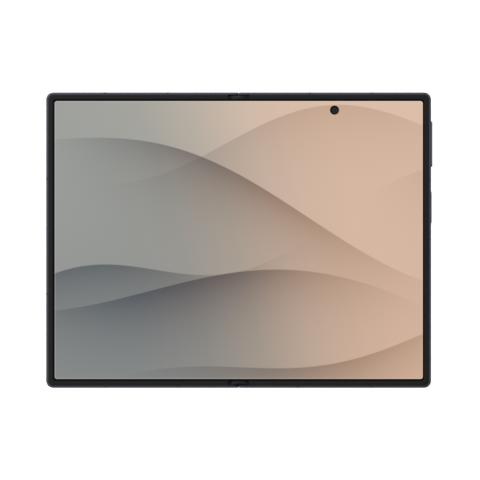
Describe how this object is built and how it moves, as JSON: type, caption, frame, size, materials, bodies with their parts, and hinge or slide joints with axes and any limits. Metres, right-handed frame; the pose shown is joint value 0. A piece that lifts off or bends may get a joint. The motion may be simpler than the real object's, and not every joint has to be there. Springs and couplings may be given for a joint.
{
  "type": "foldable smartphone",
  "caption": "Book-style folding phone lying open: wide flexible inner display over two thin halves joined by a geared twin-axis hinge, with side keys and a camera island on the back.",
  "frame": {"origin": "under the middle of the hinge, on the plane that the lens rings rest on", "axes": "+X across the open phone towards the half with the side keys, +Y up along the hinge, +Z out of the inner display"},
  "size_m": [0.162, 0.1238, 0.0067],
  "materials": {
    "frame_metal": "anodised slate, satin",
    "dark_metal": "anodised dark, satin",
    "plate_metal": "milled",
    "steel": "brushed",
    "copper": "lacquered",
    "bezel_plastic": "soft matte black",
    "antenna_plastic": "matte dark",
    "display_glass": "glossy film over the lit image",
    "cover_glass": "glossy black",
    "rear_glass": "frosted dark",
    "lens_glass": "coated",
    "panel": "dark panel",
    "camera_black": "matte black",
    "flash": "diffuser",
    "battery": "foil wrap",
    "board": "solder mask"
  },
  "bodies": {
    "spine": {"hinge_cover": "dark_metal", "hinge_bases": "steel", "hinge_pins": "steel", "idler_pins": "steel", "friction_washers": "steel", "base_screws": "steel", "centre_plate": "steel", "hinge_caps": "bezel_plastic", "display_fold": "display_glass"},
    "left_half": {"left_frame": "frame_metal", "left_bezel": "bezel_plastic", "left_antenna_strips": "antenna_plastic", "left_midplate": "plate_metal", "display_left": "display_glass", "cover_glass": "cover_glass", "cover_display": "panel", "cover_camera": "camera_black", "left_battery": "battery", "left_board": "board", "earpiece": "camera_black", "vibration_motor": "steel", "tray_reader": "steel", "hinge_arms_left": "steel", "arm_screws_left": "steel"},
    "right_half": {"right_frame": "frame_metal", "right_bezel": "bezel_plastic", "right_antenna_strips": "antenna_plastic", "right_midplate": "plate_metal", "display_right": "display_glass", "rear_glass": "rear_glass", "camera_island": "dark_metal", "lens_rings": "frame_metal", "lens_glass": "lens_glass", "rear_cameras": "camera_black", "flash_led": "flash", "inner_camera": "camera_black", "right_battery": "battery", "main_board": "board", "board_shields": "steel", "charging_coil": "copper", "loudspeaker": "camera_black", "port_board": "board", "usb_c_port": "steel", "side_switches": "copper", "hinge_arms_right": "steel", "arm_screws_right": "steel"},
    "idler_right": {"idler_gears_right": "steel"},
    "idler_left": {"idler_gears_left": "steel"},
    "wing_right": {"wing_plate_right": "steel"},
    "wing_left": {"wing_plate_left": "steel"},
    "volume_rocker": {"volume_rocker": "frame_metal"},
    "side_key": {"side_key": "dark_metal"},
    "card_tray": {"card_tray": "frame_metal"}
  },
  "joints": [
    {"name": "fold", "type": "hinge", "parent": "spine", "child": "left_half", "pos_m": [-0.0015, 0, 0.0053], "axis": [0, 1, 0], "range_deg": [0, 90], "deforming": ["display_fold"]},
    {"name": "camera_half_fold", "type": "hinge", "parent": "spine", "child": "right_half", "pos_m": [0.0015, 0, 0.0053], "axis": [0, -1, 0], "range_deg": [0, 90]},
    {"name": "idler_turn_right", "type": "hinge", "parent": "spine", "child": "idler_right", "pos_m": [0.00075, 0, 0.004], "axis": [0, -1, 0], "range_deg": [-90, 0]},
    {"name": "idler_turn_left", "type": "hinge", "parent": "spine", "child": "idler_left", "pos_m": [-0.00075, 0, 0.004], "axis": [0, -1, 0], "range_deg": [0, 90]},
    {"name": "wing_turn_right", "type": "hinge", "parent": "spine", "child": "wing_right", "pos_m": [0.00223, 0, 0.00622], "axis": [0, -1, 0], "range_deg": [0, 103.49]},
    {"name": "wing_turn_left", "type": "hinge", "parent": "spine", "child": "wing_left", "pos_m": [-0.00223, 0, 0.00622], "axis": [0, 1, 0], "range_deg": [0, 103.49]},
    {"name": "volume_rock", "type": "hinge", "parent": "right_half", "child": "volume_rocker", "pos_m": [0.07925, 0.0403, 0.00425], "axis": [0, 0, 1], "range_deg": [-1.2, 1.2], "stiffness_Nm_per_rad": 0.8},
    {"name": "side_key_press", "type": "slide", "parent": "right_half", "child": "side_key", "axis": [-1, 0, 0], "range_m": [0, 0.00025], "stiffness_N_per_m": 6000},
    {"name": "card_tray_slide", "type": "slide", "parent": "left_half", "child": "card_tray", "axis": [-1, 0, 0], "range_m": [0, 0.014]}
  ],
  "couplings": [
    {"joint": "camera_half_fold", "follows": "fold", "ratio": 1},
    {"joint": "idler_turn_right", "follows": "fold", "ratio": -1},
    {"joint": "idler_turn_left", "follows": "fold", "ratio": 1},
    {"joint": "wing_turn_right", "follows": "fold", "ratio": 1.1497},
    {"joint": "wing_turn_left", "follows": "fold", "ratio": 1.1497}
  ]
}
